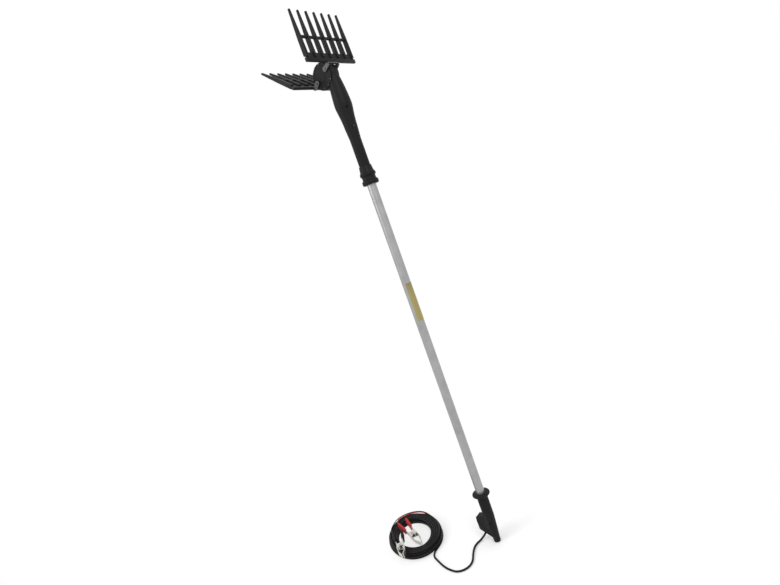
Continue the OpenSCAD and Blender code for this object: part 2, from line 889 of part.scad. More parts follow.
function clamp_point(place, turn, slope, p) =
  let (tilted = [p[0] * cos(slope) - p[2] * sin(slope), p[1], p[0] * sin(slope) + p[2] * cos(slope)])
  place + [0, 0, floor_z] + clamp_size *
  [tilted[0] * cos(turn) - tilted[1] * sin(turn), tilted[0] * sin(turn) + tilted[1] * cos(turn), tilted[2]];

module in_red_clamp() {
  in_clamp(red_place, red_heading, red_slope) children();
}

module in_black_clamp() {
  in_clamp(black_place, black_heading, black_slope) children();
}

// A place for a lead on top of the coil, off the inner oval, and the direction of the turns there
lead_z = cable_z + (coil_layers - 1) * coil_pitch + (cable_d + lead_d) / 2 + 0.6;
function on_coil(angle, offset) =
  let (out = unit([coil_inner[1] * cos(angle), coil_inner[0] * sin(angle)]))
  let (flat = [coil_inner[0] * cos(angle), coil_inner[1] * sin(angle)] + offset * out)
  let (along = unit([-coil_inner[0] * sin(angle), coil_inner[1] * cos(angle)]))
  [[coil_middle[0], coil_middle[1], lead_z] + coil_turn(flat, 0), coil_turn(along, 0)];

// Each lead goes from the sleeve over the coil to the end of its clamp's fixed handle
function lead_path(side, middle, place, turn, slope) =
  let (start = sleeve_end + side * 1.9 * sleeve_left)
  let (entry = clamp_point(place, turn, slope, [boot_end, -clamp_spread, 0]))
  let (rivet = clamp_point(place, turn, slope, [0, -clamp_spread, 0]))
  knot_path(concat([[start, coil_ahead]], middle, [[entry, unit(rivet - entry)]]), 8);

module red_lead() {
  middle = [on_coil(92, 24)];
  path = lead_path(1, middle, red_place, red_heading, red_slope);
  color(boot_red) tube(path, lead_d, cable_sides);
}

module black_lead() {
  middle = [on_coil(96, 32), on_coil(128, 26)];
  path = lead_path(-1, middle, black_place, black_heading, black_slope);
  color(dark_rubber) tube(path, lead_d, cable_sides);
}

// Battery clamp: each half is a bent plate with two ears on the rivet
function plate_line() = [
  [-handle_len, clamp_spread], [-22, 9.6], [-6, 8.6], [10, 9.8], [jaw_len - 18, 8.4], [jaw_len, 1.2]
];

module plate_outline() {
  line = plate_line();
  polygon(concat(line, [for (i = [len(line) - 1 : -1 : 0]) line[i] + [0, plate_t]]));
}

module clamp_half(half_width) {
  difference() {
    union() {
      translate([0, 0, -half_width]) linear_extrude(2 * half_width) plate_outline();
      for (z = [-half_width, half_width - ear_t]) translate([0, 0, z]) linear_extrude(ear_t)
        polygon([[-10, 9.4], [-5, -3.6], [5, -3.6], [10, 10.2]]);
    }
    translate([0, 0, -half_width - cut]) cylinder(h = 2 * half_width + 2 * cut, r = rivet_r + slip);
  }
}

module clamp_boot(half_width) {
  slope = (clamp_spread - 9.6) / (handle_len - 22);
  function line_y(x) = 9.6 + (-22 - x) * slope;
  difference() {
    translate([0, 0, -boot_half]) linear_extrude(2 * boot_half)
      polygon(rounded([
        [boot_end, line_y(boot_end) - 2], [boot_front - 3, line_y(boot_front) - 1.4],
        [boot_front - 3, line_y(boot_front) + 4.6], [boot_end, line_y(boot_end) + 4.4]
      ], 1.8));
    translate([0, 0, -half_width]) linear_extrude(2 * half_width) plate_outline();
  }
}

module clamp_rivet() {
  translate([0, 0, -outer_half - 1.5]) cylinder(h = 2 * outer_half + 3, r = rivet_r);
  for (z = [-outer_half - 1.6, outer_half + 0.3])
    translate([0, 0, z]) cylinder(h = 1.3, r = rivet_r + 1.2);
}

spring_len = spring_turns * spring_pitch;
spring_curls = [for (i = [0 : spring_turns * curl_rings])
  let (a = 90 + 360 * i / curl_rings)
  [spring_r * cos(a), spring_r * sin(a), spring_pitch * i / curl_rings - spring_len / 2]];
spring_path = concat([spring_curls[0] + [7, 0, 0]], [spring_curls[0] + [2, 0, 0]], spring_curls,
  [last(spring_curls) - [2, 0, 0]], [last(spring_curls) - [7, 0, 0]]);

module clamp_spring() {
  echo(spring_gap = least_gap(spring_curls, curl_rings / 2, spring_wire));
  tube(spring_path, spring_wire, loop_sides);
}

module red_fixed_jaw() {
  color(bare_metal) in_red_clamp() mirror([0, 1, 0]) clamp_half(inner_half);
}

module red_moving_jaw() {
  color(bare_metal) in_red_clamp() clamp_half(outer_half);
}

module red_fixed_boot() {
  color(boot_red) in_red_clamp() mirror([0, 1, 0]) clamp_boot(inner_half);
}

module red_moving_boot() {
  color(boot_red) in_red_clamp() clamp_boot(outer_half);
}

module red_rivet() {
  color(bare_metal) in_red_clamp() clamp_rivet();
}

module red_spring() {
  color(dark_steel) in_red_clamp() clamp_spring();
}

module black_fixed_jaw() {
  color(bare_metal) in_black_clamp() mirror([0, 1, 0]) clamp_half(inner_half);
}

module black_moving_jaw() {
  color(bare_metal) in_black_clamp() clamp_half(outer_half);
}

module black_fixed_boot() {
  color(black_plastic) in_black_clamp() mirror([0, 1, 0]) clamp_boot(inner_half);
}

module black_moving_boot() {
  color(black_plastic) in_black_clamp() clamp_boot(outer_half);
}

module black_rivet() {
  color(bare_metal) in_black_clamp() clamp_rivet();
}

module black_spring() {
  color(dark_steel) in_black_clamp() clamp_spring();
}

pole_tube();
pole_label();
pole_wiring();
handle_left();
handle_right();
handle_screws();
hand_flange();
butt_cap();
cable_gland();
trigger();
trigger_pin();
trigger_spring();
switch_body();
switch_button();
head_shell_left();
head_shell_right();
shell_screws();
gear_cover();
cover_screws();
neck_collar();
motor_can();
motor_magnets();
motor_end_bell();
motor_armature();
motor_shaft();
worm();
worm_bearing();
worm_wheel();
wheel_axle();
rear_rod();
front_rod();
rear_lever_arm();
front_lever_arm();
rear_shaft();
front_shaft();
shaft_bushes();
rear_yoke();
front_yoke();
rear_yoke_screws();
front_yoke_screws();
rear_comb();
front_comb();
supply_cable();
cable_coil();
end_sleeve();
red_lead();
black_lead();
red_fixed_jaw();
red_moving_jaw();
red_fixed_boot();
red_moving_boot();
red_rivet();
red_spring();
black_fixed_jaw();
black_moving_jaw();
black_fixed_boot();
black_moving_boot();
black_rivet();
black_spring();
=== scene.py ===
# %% [markdown]
# # An olive harvester on a pole
# The tool is a long aluminium pole with a motor head and two rakes at the top, a handle at the bottom
# and a cable with two battery clamps. It could be modelled afresh here, but then its sizes and joints
# would have to be fitted again. The packed model gives every piece its place and its size, in metres,
# with +Z up the pole. So this lesson keeps the solids, lays the cable, rounds the edges, adds what
# moulding and pressing leave on the pieces, and gives each surface its finish.

# %% Load the frame
import json
import math
import bmesh
import bpy
from mathutils import Matrix, Vector


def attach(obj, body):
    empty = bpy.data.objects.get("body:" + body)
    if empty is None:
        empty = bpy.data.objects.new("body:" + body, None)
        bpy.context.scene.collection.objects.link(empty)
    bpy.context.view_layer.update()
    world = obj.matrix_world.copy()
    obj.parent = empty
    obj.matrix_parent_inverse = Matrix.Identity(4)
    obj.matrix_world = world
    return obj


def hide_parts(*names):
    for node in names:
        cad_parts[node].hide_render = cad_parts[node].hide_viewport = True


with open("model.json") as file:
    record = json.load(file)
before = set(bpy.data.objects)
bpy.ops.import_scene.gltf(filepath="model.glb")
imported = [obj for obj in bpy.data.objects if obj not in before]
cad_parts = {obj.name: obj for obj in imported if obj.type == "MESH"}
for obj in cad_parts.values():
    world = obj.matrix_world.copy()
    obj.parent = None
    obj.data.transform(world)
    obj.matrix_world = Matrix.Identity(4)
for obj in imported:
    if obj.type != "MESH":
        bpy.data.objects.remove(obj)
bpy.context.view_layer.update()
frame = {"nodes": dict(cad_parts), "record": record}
MM = 0.001

# %% [markdown]
# ## The camera
# The photograph was taken close by with a wide lens, from behind and to one side of the tool, with
# the camera rolled. A camera could be aimed at a target by a constraint, but that leaves out the
# roll. A place and two directions, found from the pole's edges, the tine tips and the floor, hold the
# whole view. The lens follows from the focal length in pixels of a picture 780 pixels wide.

# %% Camera
IMAGE_WIDTH = 780
FOCAL_PIXELS = 500
SENSOR_WIDTH = 36
camera_place = Vector((1250.2, 1032.6, 1016.0)) * MM
camera_right = Vector((-0.5938, 0.7311, -0.3360)).normalized()
camera_up = Vector((-0.3146, 0.1734, 0.9333)).normalized()
camera_back = camera_right.cross(camera_up).normalized()
camera_data = bpy.data.cameras.new("photo_camera")
camera_data.sensor_width = SENSOR_WIDTH
camera_data.lens = SENSOR_WIDTH * FOCAL_PIXELS / IMAGE_WIDTH
camera = bpy.data.objects.new("photo_camera", camera_data)
camera.matrix_world = Matrix.Translation(camera_place) @ Matrix(
    (camera_right, camera_up, camera_back)).transposed().to_4x4()
bpy.context.scene.collection.objects.link(camera)
bpy.context.scene.camera = camera
print("lens:", round(camera_data.lens, 2), "mm")

# %% [markdown]
# ## Tubes along a path
# A cable is a round tube along a centre line. A curve with a round bevel gives such a tube too, but
# it has to become a mesh before it can carry a measured UV map. So the mesh is made ring by ring,
# each ring square to the path. Its UV map runs round the cable in u and along it in v, in metres, so
# that a finish can follow the cable.

# %% Tube helper
CORD_SIDES = 12


def new_piece(name, mesh, body):
    piece = bpy.data.objects.new(name, mesh)
    bpy.context.scene.collection.objects.link(piece)
    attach(piece, body)
    return piece


def tube_mesh(name, path, radius, sides=CORD_SIDES):
    """A closed tube along path, with UV = (part of the way round, metres along)."""
    shape = bmesh.new()
    uv = shape.loops.layers.uv.new("along")
    rings = []
    far = [0.0]
    for i, point in enumerate(path):
        ahead = (path[min(i + 1, len(path) - 1)] - path[max(i - 1, 0)]).normalized()
        side = ahead.cross(Vector((0, 0, 1))).normalized()
        up = side.cross(ahead)
        turns = [2 * math.pi * k / sides for k in range(sides)]
        spokes = [math.cos(a) * side + math.sin(a) * up for a in turns]
        rings.append([shape.verts.new(point + radius * spoke) for spoke in spokes])
        if i:
            far.append(far[-1] + (point - path[i - 1]).length)
    for i in range(len(rings) - 1):
        for k in range(sides):
            n = (k + 1) % sides
            face = shape.faces.new((rings[i][k], rings[i][n], rings[i + 1][n], rings[i + 1][k]))
            face.smooth = True
            spots = ((k, i), (k + 1, i), (k + 1, i + 1), (k, i + 1))
            for loop, (u, v) in zip(face.loops, spots):
                loop[uv].uv = (u / sides, far[v])
    shape.faces.new(rings[0])
    shape.faces.new(list(reversed(rings[-1])))
    bmesh.ops.recalc_face_normals(shape, faces=shape.faces)
    mesh = bpy.data.meshes.new(name)
    shape.to_mesh(mesh)
    shape.free()
    return mesh, far[-1]


print("cords have", CORD_SIDES, "sides")

# %% [markdown]
# ## Curves through knots
# A cable is stiff, so its free run and its leads bend in smooth sweeps. They could be drawn point by
# point, but then every change moves many points. A chain of cubic curves needs only a few knots. Each
# is a point and the direction of the cord there, and its pull along that direction is a fixed share
# of the distance to the next knot.

# %% Curve helper
KNOT_REACH = 0.37


def cubic(a, b, c, d, steps):
    """Points of the cubic curve from a to d, pulled towards b and c."""
    path = []
    for k in range(steps + 1):
        s = k / steps
        left = a.lerp(b, s).lerp(b.lerp(c, s), s)
        right = b.lerp(c, s).lerp(c.lerp(d, s), s)
        path.append(left.lerp(right, s))
    return path


def knot_path(knots, steps):
    """Cubic curves through knots, each a point and the direction of the path there."""
    path = []
    for (start, leaving), (end, coming) in zip(knots, knots[1:]):
        reach = KNOT_REACH * (end - start).length
        path += cubic(start, start + reach * leaving, end - reach * coming, end, steps)[:-1]
    return path + [knots[-1][0]]


print("pull of a knot:", KNOT_REACH, "of the distance")

# %% [markdown]
# ## The coil
# Most of the cable is wound into an oval coil of four layers. Stacked rings would look much the same,
# but they would be closed loops and not a cable with two ends. So the coil is one line: the distance
# from the inner oval grows and shrinks at a steady rate, and the line climbs a layer where it turns
# back. It ends before the top layer is full, so that there is room for the end sleeve.

# %% Coil
FLOOR = -146 * MM
CABLE_D = 7 * MM
LAYER_TURNS = 5
LAYERS = 4
COIL_PITCH = 7.5 * MM
COIL_MIDDLE = Vector((60, -330)) * MM
COIL_TURNED = math.radians(148.2)
COIL_INNER = (64 * MM, 96 * MM)
COIL_START = math.radians(-70)
TURN_LEFT_OUT = 0.75
COIL_TURNS = LAYERS * LAYER_TURNS - TURN_LEFT_OUT
CLIMB_TURNS = 0.5
TANGENT_TURNS = 0.01
LOOP_RINGS = 96
cable_z = FLOOR + CABLE_D / 2


def oval(angle, offset):
    """A place in plan, offset outwards from the inner oval of the coil."""
    across, length = COIL_INNER
    out = Vector((length * math.cos(angle), across * math.sin(angle))).normalized()
    flat = Vector((across * math.cos(angle), length * math.sin(angle))) + offset * out
    return Matrix.Rotation(COIL_TURNED, 2) @ flat + COIL_MIDDLE


def coil_point(turn):
    """The centre of the cable after this many turns of the coil."""
    layer = min(int(turn / LAYER_TURNS), LAYERS - 1)
    along = turn - layer * LAYER_TURNS
    offset = COIL_PITCH * (LAYER_TURNS - along if layer % 2 == 0 else along)
    past = [(turn - k * LAYER_TURNS) / CLIMB_TURNS for k in range(1, LAYERS)]
    climb = sum(min(1, max(0, p + 0.5)) for p in past)
    flat = oval(COIL_START + 2 * math.pi * turn, offset)
    return Vector((flat.x, flat.y, cable_z + COIL_PITCH * climb))


loops = [coil_point(i / LOOP_RINGS) for i in range(round(COIL_TURNS * LOOP_RINGS) + 1)]
coil_back = (loops[0] - loops[2]).normalized()
coil_ahead = (loops[-1] - coil_point(COIL_TURNS - TANGENT_TURNS)).normalized()
coil_first = loops[0] + CABLE_D * coil_back
coil_last = loops[-1] + CABLE_D * coil_ahead
print("coil:", COIL_TURNS, "turns,", len(loops), "rings")

# %% [markdown]
# ## The supply cable
# The cable leaves the gland at the bottom of the switch block, bends to the floor, runs there in an
# S and goes into the coil. A simulation could let it fall, but its path would change with every
# setting. Knots placed after the photograph keep the cable where it lies there.

# %% Supply cable
FREE_RUN_STEPS = 14
GLAND_PLACE = Vector((0, -30.5, -107.7)) * MM
GLAND_LEAN = math.radians(35)
GLAND_LENGTH = 15 * MM


def on_floor(x, y, degrees):
    """A knot on the floor, in mm, and the heading of the cable there."""
    turn = math.radians(degrees)
    return Vector((x * MM, y * MM, cable_z)), Vector((math.cos(turn), math.sin(turn), 0))


gland_axis = Vector((0, -math.sin(GLAND_LEAN), -math.cos(GLAND_LEAN)))
gland_end = GLAND_PLACE + GLAND_LENGTH * gland_axis
free_run = knot_path([
    (gland_end, gland_axis), on_floor(26, -63, -17.5), on_floor(83, -54, 24), on_floor(134, -37, -5),
    on_floor(173.5, -80, -92), on_floor(149, -161, -117), on_floor(139, -181, -118),
    (coil_first, -coil_back)], FREE_RUN_STEPS)
cable_path = free_run + loops + [coil_last]
cable_mesh, cable_length = tube_mesh("supply_cord", cable_path, CABLE_D / 2)
supply_cord = new_piece("supply_cord", cable_mesh, "pole")
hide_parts("supply_cable", "cable_coil")
print("cable:", round(cable_length, 2), "m,", len(cable_path), "rings")

# %% [markdown]
# ## Where the clamps lie
# Each battery clamp is a pair of pressed jaws that lies on the coil. Its teeth, its ribs and the end
# of its lead could be placed one by one in the frame of the tool. With a frame of its own, X to the
# jaw tips and Z along the rivet, one matrix places them all. A heading and a slope turn that frame.

# %% Clamp frames
CLAMPS = {
    "red": {"place": Vector((68.7, -329.8, 23.6)) * MM, "heading": math.radians(66.6),
            "slope": math.radians(-12.4)},
    "black": {"place": Vector((155, -318.5, 41.4)) * MM, "heading": math.radians(46.4), "slope": 0.0},
}
CLAMP_SIZE = 1.25


def clamp_matrix(colour):
    """From the frame of a clamp to the frame of the tool."""
    clamp = CLAMPS[colour]
    place = clamp["place"] + Vector((0, 0, FLOOR))
    return (Matrix.Translation(place) @ Matrix.Rotation(clamp["heading"], 4, "Z")
            @ Matrix.Rotation(-clamp["slope"], 4, "Y") @ Matrix.Scale(CLAMP_SIZE, 4))


print("clamps:", list(CLAMPS))

# %% [markdown]
# ## The two leads
# At the end sleeve the cable's two wires part, a red one and a black one. Each runs over the top of
# the coil and rises into the fixed handle of its battery clamp. A straight tube could pass through
# the turns, so each lead has knots just above them, which follow their direction.

# %% Leads
LEAD_D = 3.6 * MM
CLAMP_SPREAD = 13 * MM
BOOT_END = -62 * MM
SLEEVE_LENGTH = 26 * MM
LEAD_OFFSET = 1.9 * MM
LEAD_CLEAR = 0.6 * MM
LEAD_STEPS = 13
lead_z = cable_z + (LAYERS - 1) * COIL_PITCH + (CABLE_D + LEAD_D) / 2 + LEAD_CLEAR


def on_coil(degrees, offset):
    """A place for a lead just above the coil, and the direction of the turns there."""
    angle = math.radians(degrees)
    across, length = COIL_INNER
    along = Vector((-across * math.sin(angle), length * math.cos(angle))).normalized()
    place = oval(angle, offset * MM).to_3d() + Vector((0, 0, lead_z))
    return place, (Matrix.Rotation(COIL_TURNED, 2) @ along).to_3d()


def lead(colour, side, middle):
    """A lead from one side of the sleeve, by the knots in the middle, to its clamp."""
    left = Vector((-coil_ahead.y, coil_ahead.x, 0)).normalized()
    start = coil_last + SLEEVE_LENGTH * coil_ahead + side * LEAD_OFFSET * left
    entry = clamp_matrix(colour) @ Vector((BOOT_END, -CLAMP_SPREAD, 0))
    inward = (clamp_matrix(colour) @ Vector((0, -CLAMP_SPREAD, 0)) - entry).normalized()
    path = knot_path([(start, coil_ahead)] + middle + [(entry, inward)], LEAD_STEPS)
    mesh, length = tube_mesh(colour + "_wire", path, LEAD_D / 2)
    piece = new_piece(colour + "_wire", mesh, "pole")
    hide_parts(colour + "_lead")
    print(colour, "lead:", round(length, 3), "m")
    return piece


red_wire = lead("red", 1, [on_coil(92, 24)])
black_wire = lead("black", -1, [on_coil(96, 32), on_coil(128, 26)])

# %% [markdown]
# ## Floor and light
# The photograph has a white background and plain, soft light. A picture of a studio could light the
# tool, but two large soft lamps are easier to change: one from the camera's side and a weaker one
# from the left. The floor lies just under the lowest piece.

# %% Floor and light
scene = bpy.context.scene
scene.view_settings.view_transform = "Standard"
FLOOR_SIZE = 30
FLOOR_GAP = 0.5 * MM
LAMP_SIZE = 2.0
LAMP_TARGET = Vector((0, 0, 0.8))
floor_mesh = bpy.data.meshes.new("studio_floor")
floor_mesh.from_pydata(
    [(x * FLOOR_SIZE, y * FLOOR_SIZE, FLOOR - FLOOR_GAP) for x, y in ((-1, -1), (1, -1), (1, 1), (-1, 1))],
    [], [(0, 1, 2, 3)])
floor = bpy.data.objects.new("studio_floor", floor_mesh)
scene.collection.objects.link(floor)


def soft_lamp(name, place, power):
    data = bpy.data.lights.new(name, "AREA")
    data.shape = "DISK"
    data.size = LAMP_SIZE
    data.energy = power
    lamp = bpy.data.objects.new(name, data)
    lamp.location = place
    lamp.rotation_euler = (LAMP_TARGET - Vector(place)).to_track_quat("-Z", "Y").to_euler()
    scene.collection.objects.link(lamp)


soft_lamp("key_lamp", place=(1.6, 2.6, 3.4), power=60)
soft_lamp("side_lamp", place=(2.8, -1.6, 2.4), power=40)

# %% [markdown]
# ## Writing finishes as sums
# A finish is a small tree of shader nodes. It could be built node by node and link by link, which
# takes many lines and hides what is mixed with what. Here one class stands for a socket, so that sums
# of masks are written as Python expressions, and one function makes any other node.

# %% Nodes and sockets
def add_node(tree, kind, settings, inputs):
    """A new node in tree. Its settings come first, then the values or links of its sockets."""
    made = tree.nodes.new(kind)
    for key, value in settings.items():
        setattr(made, key, value)
    for key, value in inputs.items():
        for one in value if isinstance(value, list) else [value]:
            if isinstance(one, bpy.types.NodeSocket):
                tree.links.new(one, made.inputs[key])
            else:
                made.inputs[key].default_value = one
    return made


def shader_node(tree, kind, settings, inputs, output=0):
    """One output of a new shader node, as a Wire. Its inputs may be Wires too."""
    bare = {key: value.socket if isinstance(value, Wire) else value for key, value in inputs.items()}
    return Wire(tree, add_node(tree, kind, settings, bare).outputs[output])


class Wire:
    """An output socket of a shader node. Arithmetic on it adds Math nodes."""

    def __init__(self, tree, socket):
        self.tree = tree
        self.socket = socket

    def math(self, operation, first, second):
        return shader_node(self.tree, "ShaderNodeMath", {"operation": operation}, {0: first, 1: second})

    def __add__(self, other):
        return self.math("ADD", self, other)

    def __mul__(self, other):
        return self.math("MULTIPLY", self, other)

    __radd__ = __add__
    __rmul__ = __mul__


print("operators of a socket:", [name for name in vars(Wire) if name.endswith(("add__", "mul__"))])

# %% [markdown]
# ## A finish
# Every surface of the tool gets a material with one Principled shader. Image textures would need
# files and unwrapped pieces, so the patterns are noise on object coordinates, or on the UV map of a
# cord. The methods make the nodes that the finishes below share.

# %% Finish builder
class Finish:
    """A material with a Principled shader. Constants are set on its own sockets."""

    def __init__(self, name, **constants):
        self.material = bpy.data.materials.new(name + "_finish")
        self.material.use_nodes = True
        self.tree = self.material.node_tree
        self.shader = self.tree.nodes["Principled BSDF"]
        for socket, value in constants.items():
            self.shader.inputs[socket.replace("_", " ")].default_value = value

    def node(self, kind, settings, inputs, output=0):
        return shader_node(self.tree, kind, settings, inputs, output)

    def feed(self, socket, wire):
        self.tree.links.new(wire.socket, self.shader.inputs[socket])

    def place(self, stretch=(1, 1, 1)):
        """Object coordinates in metres, stretched for patterns that have a direction."""
        spot = self.node("ShaderNodeTexCoord", {}, {}, "Object")
        return self.node("ShaderNodeMapping", {}, {"Vector": spot, "Scale": stretch})

    def along(self, stretch=(1, 1, 1)):
        """The place round and along a cord, from its UV map."""
        spot = self.node("ShaderNodeUVMap", {"uv_map": "along"}, {})
        return self.node("ShaderNodeMapping", {}, {"Vector": spot, "Scale": stretch})

    def noise(self, spot, scale, detail=2.0, roughness=0.5):
        return self.node("ShaderNodeTexNoise", {"normalize": True},
                         {"Vector": spot, "Scale": scale, "Detail": detail, "Roughness": roughness})

    def ramp(self, wire, low, high):
        """0 below low, 1 above high."""
        return self.node("ShaderNodeMapRange", {"clamp": True},
                         {"Value": wire, "From Min": low, "From Max": high, "To Min": 0.0, "To Max": 1.0})

    def blend(self, share, first, second):
        """Mixes two colours by share. A Mix node has its colours in 6 and 7 and their result in 2."""
        return self.node("ShaderNodeMix", {"data_type": "RGBA"}, {"Factor": share, 6: first, 7: second}, 2)

    def bump(self, height, distance, strength=1.0):
        shape = {"Height": height, "Distance": distance, "Strength": strength}
        self.feed("Normal", self.node("ShaderNodeBump", {}, shape))


print("methods of a finish:", [name for name in vars(Finish) if name[0] != "_"])

# %% [markdown]
# ## Moulded black plastic
# The casing, the handle and the combs are injection-moulded nylon with a fine spark-eroded grain. It
# is nearly black, a little uneven in gloss, greyer where it has been handled, with a few rubbed marks.
# One flat colour would be simpler, but it looks like a computer model. So one noise clouds colour and
# gloss, one rubs marks into them, and a fine one bumps the grain. Rubber and red plastic are made in
# the same way, in their own colours.

# %% Plastic finishes
def moulded(name, colour, worn, grain, rough):
    finish = Finish(name, IOR=1.5, Specular_IOR_Level=0.12)
    spot = finish.place()
    cloud = finish.noise(spot, scale=45.0, detail=4.0)
    strokes = finish.noise(finish.place(stretch=(1, 1, 0.25)), scale=160.0, detail=6.0, roughness=0.65)
    rub = finish.ramp(strokes, low=0.58, high=0.78)
    lighter = tuple(c * 1.35 for c in colour[:3]) + (1,)
    tone = finish.blend(cloud, colour, lighter)
    finish.feed("Base Color", finish.blend(rub * 0.45, tone, worn))
    finish.feed("Roughness", finish.ramp(cloud, low=0.0, high=1.0) * 0.16 + rub * 0.08 + rough)
    pits = finish.noise(spot, scale=grain, detail=2.0, roughness=0.6)
    finish.bump(pits, distance=0.12 * MM, strength=0.6)
    return finish.material


black_plastic = moulded(
    "black_plastic", colour=(0.007, 0.007, 0.007, 1), worn=(0.024, 0.024, 0.025, 1), grain=1600.0, rough=0.42)
tine_plastic = moulded(
    "tine_plastic", colour=(0.008, 0.008, 0.008, 1), worn=(0.026, 0.026, 0.027, 1), grain=1100.0, rough=0.36)
black_rubber = moulded(
    "black_rubber", colour=(0.007, 0.007, 0.007, 1), worn=(0.022, 0.021, 0.020, 1), grain=2200.0, rough=0.62)
red_plastic = moulded(
    "red_plastic", colour=(0.30, 0.030, 0.028, 1), worn=(0.42, 0.10, 0.09, 1), grain=1300.0, rough=0.36)
print("plastics:", black_plastic.name, tine_plastic.name, black_rubber.name, red_plastic.name)

# %% [markdown]
# ## Metals
# The pole is drawn aluminium tube, so fine die lines run along it. The jaws are zinc-plated steel,
# screws, shafts and springs are blackened steel, and the yokes are cast metal with a sandy grey skin.
# Inside, the worm wheel, the bushes and the bearing are bronze, and the armature shares their finish.
# An anisotropic shader could give the die lines, but it needs tangents on every mesh. Noise stretched
# along Z gives them with the nodes that the other metals use.

# %% Metal finishes
def metal(name, colour, dull, rough, scale, depth, stretch=(1, 1, 1)):
    finish = Finish(name, Metallic=1.0)
    lines = finish.noise(finish.place(stretch), scale, detail=5.0, roughness=0.6)
    cloud = finish.noise(finish.place(), scale=30.0, detail=3.0)
    finish.feed("Base Color", finish.blend(finish.ramp(cloud, low=0.3, high=0.75), colour, dull))
    finish.feed("Roughness", lines * 0.22 + cloud * 0.10 + rough)
    finish.bump(lines, distance=depth)
    return finish.material


pole_aluminium = metal(
    "pole_aluminium", colour=(0.40, 0.40, 0.40, 1), dull=(0.33, 0.33, 0.33, 1), rough=0.22, scale=900.0,
    depth=0.03 * MM, stretch=(1, 1, 0.004))
yoke_metal = metal(
    "yoke_metal", colour=(0.15, 0.15, 0.15, 1), dull=(0.10, 0.10, 0.10, 1), rough=0.42, scale=900.0,
    depth=0.12 * MM)
bright_steel = metal(
    "bright_steel", colour=(0.66, 0.65, 0.62, 1), dull=(0.55, 0.53, 0.48, 1), rough=0.20, scale=500.0,
    depth=0.04 * MM)
dark_steel = metal(
    "dark_steel", colour=(0.09, 0.09, 0.095, 1), dull=(0.06, 0.06, 0.065, 1), rough=0.30, scale=600.0,
    depth=0.04 * MM)
bronze = metal(
    "bronze", colour=(0.52, 0.36, 0.16, 1), dull=(0.42, 0.28, 0.12, 1), rough=0.25, scale=700.0,
    depth=0.04 * MM, stretch=(0.1, 1, 1))
print("metals:", pole_aluminium.name, yoke_metal.name, bright_steel.name, dark_steel.name, bronze.name)

# %% [markdown]
# ## Label and cable
# The label is a bare yellow film, darker towards its top edge. The cable's jacket is soft black PVC with
# faint lines of the extruder along it, a little dusty. Both could be painted by hand. A ramp over the
# height is enough for the darker top, and noise on the cable's UV map stays with the jacket round every
# bend.

# %% Label and cable finishes
DARK_TOP_FROM = 0.790
DARK_TOP_FULL = 0.838


def label_finish():
    finish = Finish("label_film", IOR=1.46)
    spot = finish.place()
    height = finish.node("ShaderNodeSeparateXYZ", {}, {0: spot}, "Z")
    uneven = finish.noise(spot, scale=60.0, detail=4.0) * 0.03
    # The film turns a darker brown towards its top edge, ramped over height between the two heights above.
    darker_top = finish.ramp(height + uneven, DARK_TOP_FROM, DARK_TOP_FULL)
    cloud = finish.noise(spot, scale=90.0, detail=4.0)
    film = finish.blend(cloud, (0.26, 0.215, 0.065, 1), (0.31, 0.265, 0.095, 1))
    finish.feed("Base Color", finish.blend(darker_top * 0.6, film, (0.16, 0.13, 0.06, 1)))
    finish.feed("Roughness", cloud * 0.2 + 0.28)
    return finish.material


def cable_finish():
    finish = Finish("cable_rubber", IOR=1.5, Specular_IOR_Level=0.12)
    cloud = finish.noise(finish.along(stretch=(3, 18, 1)), scale=6.0, detail=4.0)
    lines = finish.noise(finish.along(stretch=(60, 3, 1)), scale=2.0, detail=2.0)
    dust = finish.ramp(cloud, low=0.52, high=0.75)
    finish.feed("Base Color", finish.blend(dust * 0.5, (0.007, 0.007, 0.008, 1), (0.024, 0.024, 0.022, 1)))
    finish.feed("Roughness", cloud * 0.2 + 0.34)
    finish.bump(lines, distance=0.1 * MM, strength=0.5)
    return finish.material


label_film = label_finish()
cable_rubber = cable_finish()
FINISHES = dict(
    pole_aluminium=pole_aluminium, label_film=label_film, black_plastic=black_plastic,
    tine_plastic=tine_plastic, cable_rubber=cable_rubber, black_rubber=black_rubber,
    red_plastic=red_plastic, yoke_metal=yoke_metal, bright_steel=bright_steel, dark_steel=dark_steel,
    bronze=bronze)
cable_mesh.materials.append(cable_rubber)
red_wire.data.materials.append(red_plastic)
black_wire.data.materials.append(cable_rubber)
print("finishes:", sorted(FINISHES))

# %% [markdown]
# ## The floor's finish
# The floor is there to take the tool's shadow. A shadow catcher does that on a transparent picture,
# but this one has a white ground. So the floor is matt and pale round the handle and fades further out
# into plain white, and no edge of it shows.

# %% Floor finish
FLOOR_NEAR = 0.12
FLOOR_FAR = 0.52
floor_finish = Finish("studio_floor", Base_Color=(0.92, 0.92, 0.92, 1), Roughness=0.9)
away = floor_finish.node("ShaderNodeVectorMath", {"operation": "LENGTH"}, {0: floor_finish.place()}, "Value")
glow = floor_finish.node("ShaderNodeEmission", {}, {"Color": (1, 1, 1, 1)})
paper = Wire(floor_finish.tree, floor_finish.shader.outputs[0])
faded = floor_finish.node("ShaderNodeMixShader", {}, {
    "Fac": floor_finish.ramp(away, FLOOR_NEAR, FLOOR_FAR), 1: paper, 2: glow})
floor_finish.tree.links.new(faded.socket, floor_finish.tree.nodes["Material Output"].inputs["Surface"])
floor_mesh.materials.append(floor_finish.material)
print("floor fades from", FLOOR_NEAR, "to", FLOOR_FAR, "m")

# %% [markdown]
# ## The white surround
# The background is white. A stronger world would make it white as well, but it would wash out the
# tool. So the world is white where the camera, a gloss or a clear piece looks at it, and a little
# weaker where it lights the object.

